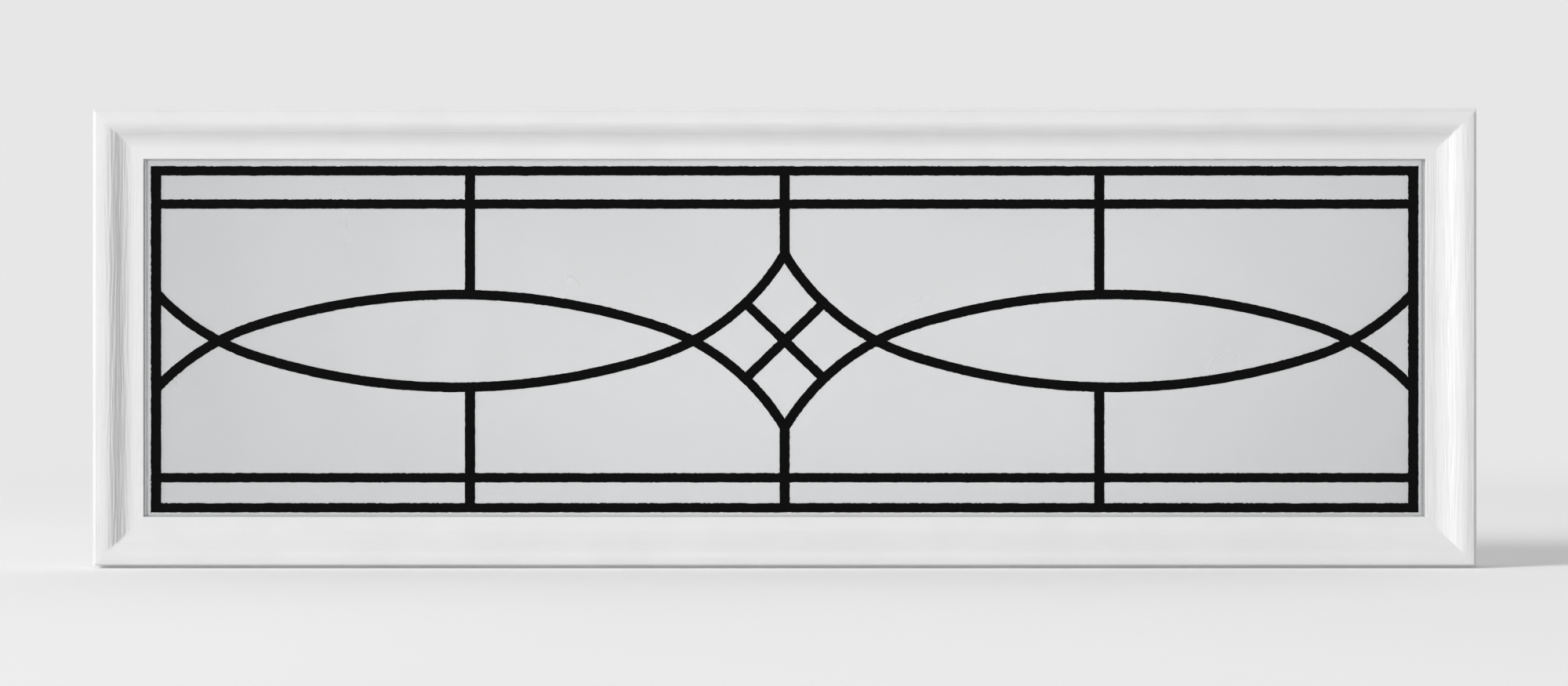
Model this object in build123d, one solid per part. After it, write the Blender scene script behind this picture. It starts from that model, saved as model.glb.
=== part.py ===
from build123d import *
import math
import os

# Window insert for a sectional garage door, in millimetres.
# X runs along the window, Z is up, and the outside face looks along -Y.
# The origin is the middle of the window, on the plane of the door's outer skin.

# Sight opening and the moulding round it
sight_width = 966.0
sight_height = 269.4
face_width = 38.7
wall = 2.6
lip_width = 2.4
lip_thickness = 1.6

# Ogee face of the outer frame, in distances from the outer edge inwards
crown_height = 10.0
crown_at = 9.5
crown_radius = 44.0
ogee_angle = 33.0
ogee_bulge_radius = 18.5
ogee_hollow_radius = 21.8
edge_radius = 1.5
arris_radius = 0.7

# The door section that is clamped between the two frames
door_thickness = 35.0
door_overlap = 18.0
cutout_clearance = 1.5
neck_thickness = 2.6
neck_past_glass = 2.6

# Inner frame
back_height = 6.0
back_slope_width = 4.0
back_slope_drop = 0.8
back_blend_radius = 5.0
reveal_splay = 14.0
back_edge_radius = 2.0
foot_width = 6.3
foot_thickness = 2.5

# Sealed glass unit
pane_thickness = 3.2
cavity = 6.4
glass_bite = 9.5
pane_corner = 1.5
sealant_width = 3.0
spacer_width = 6.2
spacer_wall = 0.4
spacer_chamfer = 1.2
butyl_thickness = 0.2
butyl_width = 4.0
key_arm = 22.0
key_clearance = 0.1
vent_pitch = 100.0
vent_length = 3.0
vent_width = 0.6

# Tapes, gasket, blocks and seal
tape_thickness = 2.4
tape_width = 6.0
tape_setback = 0.4
lip_to_glass = 0.3
gasket_thickness = 1.6
gasket_width = 5.5
gasket_setback = 0.4
block_length = 100.0
seal_thickness = 3.0
seal_width = 9.0
seal_from_rim = 3.0
rail_thickness = 1.5

# Screws, bosses and ribs
screw_length = 31.8
screw_radius = 1.55
head_radius = 4.0
head_height = 2.7
recess_length = 4.4
recess_width = 0.9
recess_depth = 1.5
pilot_clearance = 0.1
pilot_past_tip = 2.0
shank_clearance = 0.8
boss_wall = 2.55
boss_gap = 0.5
boss_to_glass = 1.0
pad_width = 12.0
pad_depth = 5.4
long_side_screws = 4
screw_from_corner = 146.7
rib_thickness = 1.8
glass_rib_clearance = 0.5

# How far cutters and joined blocks run past the faces they meet
overcut = 1.0

# Black line-work on the outer pane
line_thickness = 1.2
line_bevel = 0.3
border_side_gap = 4.65
border_top_gap = 5.0
border_bottom_gap = 3.0
border_side_width = 7.7
border_rail_width = 7.1
wave_width = 7.4
upright_width = 7.7
diagonal_width = 7.3
pattern_drop = 2.2
rail_from_middle = 103.3
quarter_from_middle = 237.5
lens_from_middle = 248.2
lens_half_height = 35.0
crest_radius = 500.0
crest_angle = 17.5
tip_radius = 175.0
tip_angle = 60.0
diagonal_angle = 44.0

# Values worked out from the sizes above
overall_width = sight_width + 2 * face_width
overall_height = sight_height + 2 * face_width
far = 4 * crown_height + door_thickness

land_y = -(crown_height - (ogee_bulge_radius + ogee_hollow_radius) * (1 - math.cos(math.radians(ogee_angle))))
ledge_y = land_y + wall
glass_y = ledge_y + tape_thickness
sight_end_y = glass_y - lip_to_glass
spacer_y = glass_y + pane_thickness
inner_pane_y = spacer_y + cavity
glass_back_y = inner_pane_y + pane_thickness
neck_end_y = glass_back_y + neck_past_glass
leg_y = glass_back_y + gasket_thickness
back_y = door_thickness + back_height

neck_at = door_overlap + cutout_clearance
glass_edge = face_width - glass_bite
spacer_inset = glass_edge + sealant_width
seal_at = lip_width + wall + seal_from_rim
boss_radius = screw_radius + pilot_clearance + boss_wall
screw_at = glass_edge - boss_to_glass - boss_radius
long_side_pitch = (overall_width - 2 * screw_from_corner) / (long_side_screws - 1)
pad_y = back_y - pad_depth
boss_tip_y = pad_y - boss_gap
screw_tip_y = back_y - screw_length
run_length = sight_height / 2
splay_rate = math.tan(math.radians(reveal_splay))
back_edge_y = back_y - back_slope_drop


def rectangle(s0, s1, y0, y1):
    """Section rectangle from s0 to s1 inwards and from y0 to y1 in depth."""
    return Pos((s0 + s1) / 2, (y0 + y1) / 2) * Rectangle(s1 - s0, y1 - y0)


def slab(inset, y0, y1):
    """Block inset by the same amount from all four outer edges."""
    size = Box(overall_width - 2 * inset, y1 - y0, overall_height - 2 * inset)
    return Pos(0, (y0 + y1) / 2, 0) * size


def ring(inset_out, inset_in, y0, y1):
    """Rectangular ring between two insets."""
    return slab(inset_out, y0, y1) - slab(inset_in, y0 - overcut, y1 + overcut)


def side_plane(side, along=0.0):
    """Plane across one member: local x runs inwards from the outer edge, local y is world Y."""
    if side == "top":
        return Plane((along, 0, overall_height / 2), x_dir=(0, 0, -1), z_dir=(1, 0, 0))
    if side == "bottom":
        return Plane((along, 0, -overall_height / 2), x_dir=(0, 0, 1), z_dir=(-1, 0, 0))
    if side == "left":
        return Plane((-overall_width / 2, 0, along), x_dir=(1, 0, 0), z_dir=(0, 0, 1))
    return Plane((overall_width / 2, 0, along), x_dir=(-1, 0, 0), z_dir=(0, 0, -1))


def across(side, section, length, along=0.0):
    """Section carried for a length along one member, centred at a place along it."""
    return extrude(side_plane(side, along) * section, amount=length / 2, both=True)


def mitre_wedge(corners):
    """Block whose slanted ends cut a member's mitres."""
    return extrude(Plane.XZ * make_face(Polyline(*corners, close=True)), amount=far, both=True)


def mitred(section):
    """Section carried round all four sides, with mitred corners."""
    half_w = overall_width / 2
    half_h = overall_height / 2
    in_w = half_w - face_width - overcut
    in_h = half_h - face_width - overcut
    top_wedge = mitre_wedge([(-half_w, half_h), (half_w, half_h), (in_w, in_h), (-in_w, in_h)])
    left_wedge = mitre_wedge([(-half_w, half_h), (-in_w, in_h), (-in_w, -in_h), (-half_w, -half_h)])
    top = across("top", section, overall_width) & top_wedge
    left = across("left", section, overall_height) & left_wedge
    return top + left + mirror(top, about=Plane.XY) + mirror(left, about=Plane.YZ)


def rounded(section, point, radius):
    """Section with the corner nearest to a point rounded."""
    corner = section.vertices().sort_by_distance((*point, 0))[0]
    return fillet(corner, radius)


def ogee_line(depth, start, end):
    """Crown, bulge and hollow of the ogee, set back by a depth, from start to end inwards."""
    top = (crown_at, depth - crown_height)
    lean = math.degrees(math.asin((crown_at - start) / (crown_radius - depth)))
    crown = JernArc(top, (-1, 0), crown_radius - depth, -lean)
    bulge = JernArc(top, (1, 0), ogee_bulge_radius - depth, ogee_angle)
    hollow = JernArc(bulge @ 1, bulge % 1, ogee_hollow_radius + depth, -ogee_angle)
    land = Line(hollow @ 1, (end, (hollow @ 1).Y))
    return [crown, bulge, hollow, land]


def face_from(lines):
    """Closed face from connected lines and arcs."""
    return make_face([edge for line in lines for edge in line.edges()])


def outer_outline():
    """Solid outline of the outer frame's section, from the lip to the sight edge."""
    front = ogee_line(0, lip_width, face_width)
    edge = front[0] @ 1
    inside = face_width - wall
    sight = Polyline((face_width, land_y), (face_width, sight_end_y), (inside, sight_end_y), (inside, 0))
    lip = Polyline((inside, 0), (0, 0), (0, -lip_thickness), (lip_width, -lip_thickness), edge)
    outline = face_from([*front, sight, lip])
    outline = rounded(outline, (edge.X, edge.Y), edge_radius)
    outline = rounded(outline, (face_width, land_y), arris_radius)
    return rounded(outline, (0, -lip_thickness), lip_thickness / 4)


def behind_face(depth):
    """Region behind the ogee face set back by a depth, open towards the door."""
    front = ogee_line(depth, lip_width + depth, face_width - depth)
    edge = front[0] @ 1
    end = front[-1] @ 1
    return face_from([*front, Polyline(end, (end.X, far), (edge.X, far), edge)])


def outer_section():
    """Shell, rim, neck, sight edge and the two rails that carry the foam seal."""
    outline = outer_outline()
    section = outline - behind_face(wall)
    for rail in (seal_at, seal_at + seal_width - rail_thickness):
        section += outline & rectangle(rail, rail + rail_thickness, -far, -seal_thickness)
    section += outline & rectangle(neck_at, neck_at + neck_thickness, -far, 0)
    return section + rectangle(neck_at, neck_at + neck_thickness, -overcut, neck_end_y)


def spread(count, pitch):
    """Evenly spaced places centred on the middle of a side."""
    return [(i - (count - 1) / 2) * pitch for i in range(count)]


def screw_places():
    """Side and place along it of every screw: a row on each long side, one on each short side."""
    places = [("left", 0), ("right", 0)]
    for side in ("top", "bottom"):
        places += [(side, along) for along in spread(long_side_screws, long_side_pitch)]
    return places


def rib_places():
    """Side and place along it of every cross rib: half way between screws, or to either side of one."""
    places = []
    for side in ("top", "bottom"):
        places += [(side, along) for along in spread(long_side_screws - 1, long_side_pitch)]
    for side in ("left", "right"):
        places += [(side, along) for along in spread(2, sight_height / 2)]
    return places


def on_screw_line(side, along, y):
    """Point on the screw line of one side, at a depth."""
    point = side_plane(side, along).from_local_coords((screw_at, 0, 0))
    return Pos(point.X, y, point.Z)


def peg(side, along, radius, y0, y1):
    """Round peg along Y on the screw line of one side."""
    return on_screw_line(side, along, (y0 + y1) / 2) * Rot(90, 0, 0) * Cylinder(radius, y1 - y0)


def outer_ribs():
    """Cross ribs behind the face, and ribs on the neck that centre the glass."""
    behind = behind_face(wall / 2)
    neck_mid = neck_at + neck_thickness / 2
    seal_rib = behind & rectangle(lip_width + wall, neck_mid, -far, -seal_thickness)
    glass_rib = behind & rectangle(neck_mid, glass_edge - glass_rib_clearance, -far, glass_back_y)
    ribs = []
    for side, along in rib_places():
        ribs.append(across(side, seal_rib, rib_thickness, along))
        if side != "bottom":
            ribs.append(across(side, glass_rib, rib_thickness, along))
    return ribs


def outer_frame():
    """One-piece moulding with the ogee face, the neck that enters the door, bosses and ribs."""
    bosses = [peg(side, along, boss_radius, land_y, boss_tip_y) for side, along in screw_places()]
    pilot = screw_radius + pilot_clearance
    pilots = [peg(side, along, pilot, screw_tip_y - pilot_past_tip, far) for side, along in screw_places()]
    return mitred(outer_section()) + outer_ribs() + bosses - pilots


def reveal(y, depth=0.0):
    """Distance in from the outer edge of the inner frame's splayed reveal at y, set back by a depth."""
    return face_width - (y - leg_y) * splay_rate - depth / math.cos(math.radians(reveal_splay))


def inner_outline():
    """Solid outline of the inner frame's flange, from the lip to the splayed reveal."""
    slope = reveal(back_edge_y) - back_slope_width
    lip_y = door_thickness + lip_thickness
    points = [(0, door_thickness), (0, lip_y), (lip_width, lip_y), (lip_width, back_y), (slope, back_y),
              (reveal(back_edge_y), back_edge_y), (reveal(door_thickness), door_thickness)]
    outline = make_face(Polyline(*points, close=True))
    outline = rounded(outline, (lip_width, back_y), back_edge_radius)
    outline = rounded(outline, (slope, back_y), back_blend_radius)
    return rounded(outline, (reveal(back_edge_y), back_edge_y), edge_radius)


def under_flange(depth):
    """Region under the inner frame's face set back by a depth, open towards the door."""
    slope = reveal(back_edge_y) - back_slope_width
    edge_y = back_edge_y - depth
    points = [(lip_width + depth, 0), (lip_width + depth, back_y - depth), (slope, back_y - depth),
              (reveal(edge_y, depth), edge_y), (reveal(0, depth), 0)]
    return make_face(Polyline(*points, close=True))


def inner_section():
    """Flange shell with the splayed leg and the foot that press on the glass."""
    top_y = door_thickness + overcut
    foot_y = leg_y + foot_thickness
    leg = [(reveal(leg_y, wall), leg_y), (reveal(leg_y), leg_y), (reveal(top_y), top_y), (reveal(top_y, wall), top_y)]
    section = inner_outline() - under_flange(wall) + make_face(Polyline(*leg, close=True))
    return section + rectangle(face_width - foot_width, reveal(foot_y), leg_y, foot_y)


def inner_frame():
    """One-piece retaining frame with a pad behind each screw hole, screwed on from inside."""
    rib = under_flange(wall / 2) & rectangle(lip_width, face_width, door_thickness + lip_thickness, far)
    ribs = [across(side, rib, rib_thickness, along) for side, along in rib_places()]
    pad = Box(pad_width, pad_depth - wall / 2, pad_width)
    pad_middle = (pad_y + back_y - wall / 2) / 2
    pads = [on_screw_line(side, along, pad_middle) * pad for side, along in screw_places()]
    hole = screw_radius + shank_clearance
    holes = [peg(side, along, hole, 0, far) for side, along in screw_places()]
    return mitred(inner_section()) + ribs + pads - holes


def screw():
    """Pan head screw with a cross recess, head seat at the origin and shank along -Z."""
    head = Pos(0, 0, head_height / 2) * Cylinder(head_radius, head_height)
    shank = Pos(0, 0, -screw_length / 2) * Cylinder(screw_radius, screw_length)
    slot = Pos(0, 0, head_height - recess_depth / 2) * Box(recess_length, recess_width, recess_depth)
    return head + shank - slot - Rot(0, 0, 90) * slot


def frame_screws():
    """All the screws, each with its head on the inner frame's face."""
    one = screw()
    turn = Rot(-90, 0, 0)
    return Compound([on_screw_line(side, along, back_y) * turn * one for side, along in screw_places()])


def pane(y):
    """One pane with seamed corners."""
    glass = slab(glass_edge, y, y + pane_thickness)
    return chamfer(glass.edges().filter_by(Axis.Y), pane_corner)


def spacer_outline(inset):
    """Spacer section shrunk by an inset, with the two corners on the sealant side cut off."""
    outline = Rectangle(spacer_width - 2 * inset, cavity - 2 * butyl_thickness - 2 * inset)
    return chamfer(outline.vertices().sort_by(Axis.X)[:2], spacer_chamfer - inset * (2 - math.sqrt(2)))


def at_spacer(section):
    """Section moved to the middle of the spacer."""
    return Pos(spacer_inset + spacer_width / 2, spacer_y + cavity / 2) * section


def spacer_bar(side):
    """Hollow bar between two corner keys, with a row of vents on the air side."""
    span = overall_width if side in ("top", "bottom") else overall_height
    length = span - 2 * (spacer_inset + spacer_width)
    bar = across(side, at_spacer(spacer_outline(0) - spacer_outline(spacer_wall)), length)
    vent = at_spacer(Pos(spacer_width / 2, 0) * Rectangle(3 * spacer_wall, vent_width))
    vents = spread(int((length - 2 * key_arm) / vent_pitch), vent_pitch)
    return bar - [across(side, vent, vent_length, along) for along in vents]


def corner_key(z_name, x_name):
    """Nylon key: a square elbow with an arm that plugs into the bar on each side of it."""
    x_side = 1 if x_name == "right" else -1
    z_side = 1 if z_name == "top" else -1
    corner_x = overall_width / 2 - spacer_inset - spacer_width / 2
    corner_z = overall_height / 2 - spacer_inset - spacer_width / 2
    arm = at_spacer(spacer_outline(spacer_wall + key_clearance))
    length = spacer_width / 2 + key_arm
    along_x = across(z_name, arm, length, x_side * (corner_x - length / 2))
    along_z = across(x_name, arm, length, z_side * (corner_z - length / 2))
    elbow = Box(spacer_width, cavity - 2 * butyl_thickness, spacer_width)
    return Pos(x_side * corner_x, spacer_y + cavity / 2, z_side * corner_z) * elbow + along_x + along_z


def desiccant(side):
    """Fill of drying beads between the two keys in a long bar."""
    length = overall_width - 2 * (spacer_inset + spacer_width + key_arm + key_clearance)
    return across(side, at_spacer(spacer_outline(spacer_wall + key_clearance)), length)


def butyl_seal(y):
    """Thin bead between the spacer and one pane."""
    start = spacer_inset + (spacer_width + spacer_chamfer - butyl_width) / 2
    return ring(start, start + butyl_width, y, y + butyl_thickness)


def edge_sealant():
    """Sealant that fills the edge of the glass unit outside the spacer."""
    return ring(glass_edge, spacer_inset, spacer_y, inner_pane_y)


def glazing_tape():
    """Two-sided tape between the frame's ledge and the outer pane."""
    end = face_width - wall - tape_setback
    return ring(end - tape_width, end, ledge_y, glass_y)


def glazing_gasket():
    """Gasket under the inner frame's foot."""
    end = face_width - gasket_setback
    return ring(end - gasket_width, end, glass_back_y, leg_y)


def setting_block(side):
    """Rubber block under the glass unit, on the bottom of the neck, half way between two screws."""
    height = glass_edge - neck_at - neck_thickness
    depth = glass_back_y - glass_y
    z = -overall_height / 2 + glass_edge - height / 2
    return Pos(side * long_side_pitch, glass_y + depth / 2, z) * Box(block_length, depth, height)


def skin_seal():
    """Foam seal pressed flush with the rim on its two rails."""
    return ring(seal_at, seal_at + seal_width, -seal_thickness, 0)


def tip_centre():
    """Centre of the tip arc, measured from the crest's axis and the pattern's middle."""
    lean = math.radians(crest_angle)
    inner = crest_radius - tip_radius
    return inner * math.sin(lean), lens_half_height - crest_radius + inner * math.cos(lean)


def wave_height(distance):
    """Height of a wave's middle line above the pattern's middle, at a distance from its crest."""
    if distance <= crest_radius * math.sin(math.radians(crest_angle)):
        return lens_half_height - crest_radius + math.sqrt(crest_radius**2 - distance**2)
    x, z = tip_centre()
    steep = math.radians(tip_angle)
    end = x + tip_radius * math.sin(steep)
    if distance <= end:
        return z + math.sqrt(tip_radius**2 - (distance - x) ** 2)
    return z + tip_radius * math.cos(steep) - (distance - end) * math.tan(steep)


def bar_section(width):
    """Section of one bar of the line-work, flat behind and bevelled in front."""
    half = width / 2
    bevel = line_thickness - line_bevel
    return make_face(Polyline((-half, 0), (half, 0), (half, bevel), (half - line_bevel, line_thickness),
                              (line_bevel - half, line_thickness), (-half, bevel), close=True))


def straight_bar(width, length):
    """Bar of a length along X, on the XY plane, with its middle at the origin."""
    end = Plane((-length / 2, 0, 0), x_dir=(0, 1, 0), z_dir=(1, 0, 0))
    return extrude(end * bar_section(width), amount=length)


def arc_bar(centre, radius, width, start, size):
    """Bar bent along an arc on the XY plane."""
    lean = math.radians(start)
    out = Vector(math.cos(lean), math.sin(lean))
    end = Plane(Vector(*centre) + out * radius, x_dir=out, z_dir=(out.Y, -out.X, 0))
    return revolve(end * bar_section(width), axis=Axis((*centre, 0), (0, 0, 1)), revolution_arc=size)


def half_wave():
    """Bar from a crest outwards: the flat crest arc, the steep tip arc and a straight run."""
    x, z = tip_centre()
    steep = math.radians(tip_angle)
    crest_centre = (0, lens_half_height - crest_radius)
    crest = arc_bar(crest_centre, crest_radius, wave_width, 90 - crest_angle, crest_angle)
    tip = arc_bar((x, z), tip_radius, wave_width, 90 - tip_angle, tip_angle - crest_angle)
    end = Pos(x + tip_radius * math.sin(steep), z + tip_radius * math.cos(steep), 0) * Rot(0, 0, -tip_angle)
    return crest + tip + end * Pos(run_length / 2, 0, 0) * straight_bar(wave_width, run_length)


def lens():
    """Four half waves that cross each other at both ends of a pointed lens."""
    upper_right = half_wave()
    upper = upper_right + mirror(upper_right, about=Plane.YZ)
    return upper + mirror(upper, about=Plane.XZ)


def diagonals():
    """Crossed bars that end on the waves round the middle diamond."""
    x, z = tip_centre()
    lean = math.radians(diagonal_angle)
    toward = (lens_from_middle - x) * math.cos(lean) - z * math.sin(lean)
    reach = toward - math.sqrt(toward**2 - (lens_from_middle - x) ** 2 - z**2 + tip_radius**2)
    bar = straight_bar(diagonal_width, 2 * reach)
    return [Rot(0, 0, diagonal_angle) * bar, Rot(0, 0, -diagonal_angle) * bar]


def upright(x, z0, z1):
    """Vertical bar between two heights."""
    return Pos(x, (z0 + z1) / 2, 0) * Rot(0, 0, 90) * straight_bar(upright_width, z1 - z0)


def border(half_width, half_height):
    """Bevelled border round the line-work."""
    outside = extrude(Rectangle(2 * half_width, 2 * half_height), amount=line_thickness)
    outside = chamfer(outside.faces().sort_by(Axis.Z)[-1].edges(), line_bevel)
    opening = Rectangle(2 * (half_width - border_side_width), 2 * (half_height - border_rail_width))
    frame = outside - extrude(opening, amount=line_thickness)
    return chamfer(frame.faces().sort_by(Axis.Z)[-1].inner_wires()[0].edges(), line_bevel)


def line_pattern():
    """The whole line-work face up on the XY plane, with the pattern's middle as origin."""
    half_width = sight_width / 2 - border_side_gap
    top = sight_height / 2 - border_top_gap + pattern_drop
    bottom = border_bottom_gap - sight_height / 2 + pattern_drop
    middle = Pos(0, (top + bottom) / 2, 0)
    bars = diagonals()
    for z in (rail_from_middle, -rail_from_middle):
        bars.append(Pos(0, z, 0) * straight_bar(border_rail_width, 2 * half_width - border_side_width))
    crest = wave_height(abs(lens_from_middle - quarter_from_middle))
    tip = -wave_height(lens_from_middle)
    for x, reach in ((-quarter_from_middle, crest), (0, tip), (quarter_from_middle, crest)):
        bars.append(upright(x, reach, top - border_rail_width / 2))
        bars.append(upright(x, bottom + border_rail_width / 2, -reach))
    right_half = middle * Pos(half_width / 2, 0, 0) * Box(half_width, top - bottom, 3 * line_thickness)
    waves = Pos(lens_from_middle, 0, 0) * lens() & right_half
    return middle * border(half_width, (top - bottom) / 2) + waves + mirror(waves, about=Plane.YZ) + bars


def came_lattice():
    """Black line-work in one piece, bonded to the front of the outer pane."""
    return Plane.XZ.offset(-glass_y) * Pos(0, -pattern_drop, 0) * line_pattern()


def window():
    """Every piece of the insert by name."""
    pieces = {
        "outer_frame": outer_frame(),
        "inner_frame": inner_frame(),
        "frame_screws": frame_screws(),
        "outer_pane": pane(glass_y),
        "inner_pane": pane(inner_pane_y),
        "came_lattice": came_lattice(),
        "butyl_seal_front": butyl_seal(spacer_y),
        "butyl_seal_rear": butyl_seal(inner_pane_y - butyl_thickness),
        "edge_sealant": edge_sealant(),
        "glazing_tape": glazing_tape(),
        "glazing_gasket": glazing_gasket(),
        "setting_block_left": setting_block(-1),
        "setting_block_right": setting_block(1),
        "skin_seal": skin_seal(),
    }
    for side in ("top", "bottom", "left", "right"):
        pieces[f"spacer_bar_{side}"] = spacer_bar(side)
    for side in ("top", "bottom"):
        pieces[f"desiccant_{side}"] = desiccant(side)
    for z_name in ("top", "bottom"):
        for x_name in ("left", "right"):
            pieces[f"corner_key_{z_name}_{x_name}"] = corner_key(z_name, x_name)
    return pieces


os.makedirs("parts", exist_ok=True)
for name, shape in window().items():
    export_step(shape, f"parts/{name}.step")
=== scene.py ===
import math

import bpy
import numpy as np
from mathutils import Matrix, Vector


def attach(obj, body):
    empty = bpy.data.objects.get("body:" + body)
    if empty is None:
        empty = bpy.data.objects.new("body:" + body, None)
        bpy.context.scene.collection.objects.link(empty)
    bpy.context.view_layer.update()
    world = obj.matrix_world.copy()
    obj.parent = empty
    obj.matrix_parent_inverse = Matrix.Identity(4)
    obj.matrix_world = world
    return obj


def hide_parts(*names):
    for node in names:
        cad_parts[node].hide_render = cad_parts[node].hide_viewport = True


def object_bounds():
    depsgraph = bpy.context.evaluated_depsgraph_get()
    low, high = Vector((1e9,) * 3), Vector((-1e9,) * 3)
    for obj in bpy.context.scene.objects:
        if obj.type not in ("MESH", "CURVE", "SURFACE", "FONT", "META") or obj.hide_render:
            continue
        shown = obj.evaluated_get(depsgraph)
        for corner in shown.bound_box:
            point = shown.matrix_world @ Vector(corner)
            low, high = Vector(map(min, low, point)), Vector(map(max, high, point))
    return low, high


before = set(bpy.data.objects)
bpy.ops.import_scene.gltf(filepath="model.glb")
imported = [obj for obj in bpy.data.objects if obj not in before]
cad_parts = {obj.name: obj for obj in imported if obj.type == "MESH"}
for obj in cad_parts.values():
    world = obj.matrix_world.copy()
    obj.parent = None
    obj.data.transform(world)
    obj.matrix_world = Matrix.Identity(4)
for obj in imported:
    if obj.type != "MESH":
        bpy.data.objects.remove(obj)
cad_box = [list(corner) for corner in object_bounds()]

# Sizes in millimetres. The origin is in the middle of the window, on the plane that the frame's rim sits on.
# In a section, s runs inwards from the frame's outer edge and y runs from the outside to the inside.
WIDTH, HEIGHT = 1043.4, 346.8
FACE, WALL = 38.7, 2.6
SIGHT_W, SIGHT_H = WIDTH - 2 * FACE, HEIGHT - 2 * FACE
GLASS_Y = 1.502

# Each side's direction along it and its direction outwards, both as (x, z).
SIDES = {
    "top": ((1, 0), (0, 1)),
    "right": ((0, -1), (1, 0)),
    "bottom": ((-1, 0), (0, -1)),
    "left": ((0, 1), (-1, 0)),
}

# Screws stand a distance in from the edge, with their heads on a seat at the back. Each screw and each rib
# has a side and a distance along it from its middle.
SCREW_AT, SCREW_PITCH, SEAT_Y = 24.0, 250.0, 41.0
SCREWS = [("left", 0), ("right", 0)]
SCREWS += [(side, (i - 1.5) * SCREW_PITCH) for side in ("top", "bottom") for i in range(4)]
RIBS = [(side, i * SCREW_PITCH) for side in ("top", "bottom") for i in (-1, 0, 1)]
RIBS += [(side, i * SIGHT_H / 4) for side in ("left", "right") for i in (-1, 1)]


# Shells and meshes

def grid_faces(rows, columns, around=False):
    """Quads between the neighbouring points of a grid in row order.

    Each row closes on itself. With around, the last row joins the first."""
    i = np.arange(rows if around else rows - 1)[:, None]
    j = np.arange(columns)[None, :]
    up, side = (i + 1) % rows, (j + 1) % columns
    corners = [i * columns + j, up * columns + j, up * columns + side, i * columns + side]
    return np.stack(corners, -1).reshape(-1, 4)


def pole_faces(rows, columns):
    """Triangles from the first and the last row of a grid to two poles, the two points after the grid's."""
    j = np.arange(columns)
    last = (rows - 1) * columns
    start = np.stack([np.full(columns, last + columns), j, (j + 1) % columns], -1)
    end = np.stack([np.full(columns, last + columns + 1), last + (j + 1) % columns, last + j], -1)
    return [start, end]


def volume_of(points, faces):
    """Signed volume of a closed shell: the sum over its triangles of a . (b x c) / 6."""
    total = 0.0
    for group in faces:
        for k in range(1, group.shape[1] - 1):
            a, b, c = points[group[:, 0]], points[group[:, k]], points[group[:, k + 1]]
            total += np.einsum("ij,ij->", a, np.cross(b, c)) / 6
    return total


def add_piece(name, shells, sharp_angle):
    """Mesh object of closed shells, each a pair of points in mm and groups of faces.

    Each shell is turned outwards by its volume's sign."""
    points, corners, counts, base = [], [], [], 0
    for place, faces in shells:
        step = -1 if volume_of(place, faces) < 0 else 1
        for group in faces:
            corners.append((group[:, ::step] + base).ravel())
            counts.append(np.full(len(group), group.shape[1]))
        points.append(place)
        base += len(place)
    points, corners, counts = np.concatenate(points) / 1000, np.concatenate(corners), np.concatenate(counts)
    mesh = bpy.data.meshes.new(name)
    mesh.vertices.add(len(points))
    mesh.vertices.foreach_set("co", points.ravel())
    mesh.loops.add(len(corners))
    mesh.loops.foreach_set("vertex_index", corners)
    mesh.polygons.add(len(counts))
    mesh.polygons.foreach_set("loop_start", np.cumsum(counts) - counts)
    mesh.polygons.foreach_set("use_smooth", np.ones(len(counts), bool))
    mesh.update(calc_edges=True)
    mesh.validate()
    mesh.set_sharp_from_angle(angle=math.radians(sharp_angle))
    piece = bpy.data.objects.new(name, mesh)
    bpy.context.scene.collection.objects.link(piece)
    return piece


def lathe(radius, height, columns):
    """Closed solid of revolution about the second axis.

    Each pair is a ring of (radius cos angle, height, radius sin angle), and the two end pairs are poles."""
    angle = np.arange(columns) * 2 * math.pi / columns
    ring = np.stack([np.cos(angle), np.zeros(columns), np.sin(angle)], -1)
    axis = np.array([0.0, 1.0, 0.0])
    rings = radius[1:-1, None, None] * ring[None] + height[1:-1, None, None] * axis
    points = np.concatenate([rings.reshape(-1, 3), [axis * height[0], axis * height[-1]]])
    rows = len(radius) - 2
    return points, [grid_faces(rows, columns), *pole_faces(rows, columns)]


def on_side(side, s, y, along):
    """Point at a distance in from one side's outer edge, at a depth, and at a distance along the side."""
    (along_x, along_z), (out_x, out_z) = SIDES[side]
    half = HEIGHT / 2 if out_z else WIDTH / 2
    x = out_x * (half - s) + along_x * along
    z = out_z * (half - s) + along_z * along
    return np.stack([x, y + 0 * (s + along), z], -1)


def value_noise(a, b, seed):
    """Value noise: seeded random heights on a lattice, blended between the four corners around (a, b).

    The blend goes by the two fractions f of a cell, each smoothed to f f (3 - 2 f)."""
    size = 256
    heights = np.random.default_rng(seed).random((size, size))
    left, low = np.floor(a).astype(int), np.floor(b).astype(int)
    over, up = a - left, b - low
    over, up = over * over * (3 - 2 * over), up * up * (3 - 2 * up)
    left, low, right, high = left % size, low % size, (left + 1) % size, (low + 1) % size
    lower = heights[left, low] * (1 - over) + heights[right, low] * over
    upper = heights[left, high] * (1 - over) + heights[right, high] * over
    return lower * (1 - up) + upper * up


# The moulded frame

# The face's three circles, each as a centre (s, y) and a radius, and the depths of the land and of the ledge.
CROWN_AT, CROWN_R = (9.5, 34.0), 44.0
BULGE_AT, BULGE_R = (9.5, 8.5), 18.5
HOLLOW_AT, HOLLOW_R = (31.449, -25.298), 21.8
LAND_Y, LEDGE_Y = -3.498, 1.202
# The bulge runs on into the hollow at this s, where the face leans by this many degrees.
TURN_AT, TURN_LEAN = 19.576, 33.0
# Behind the face: the rim's inner side, the neck's two sides and end, and the end of the seal rails.
RIM_S, NECK_OUT, NECK_IN, NECK_Y, RAIL_Y = 5.0, 19.5, 22.1, 16.902, -3.0
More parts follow.
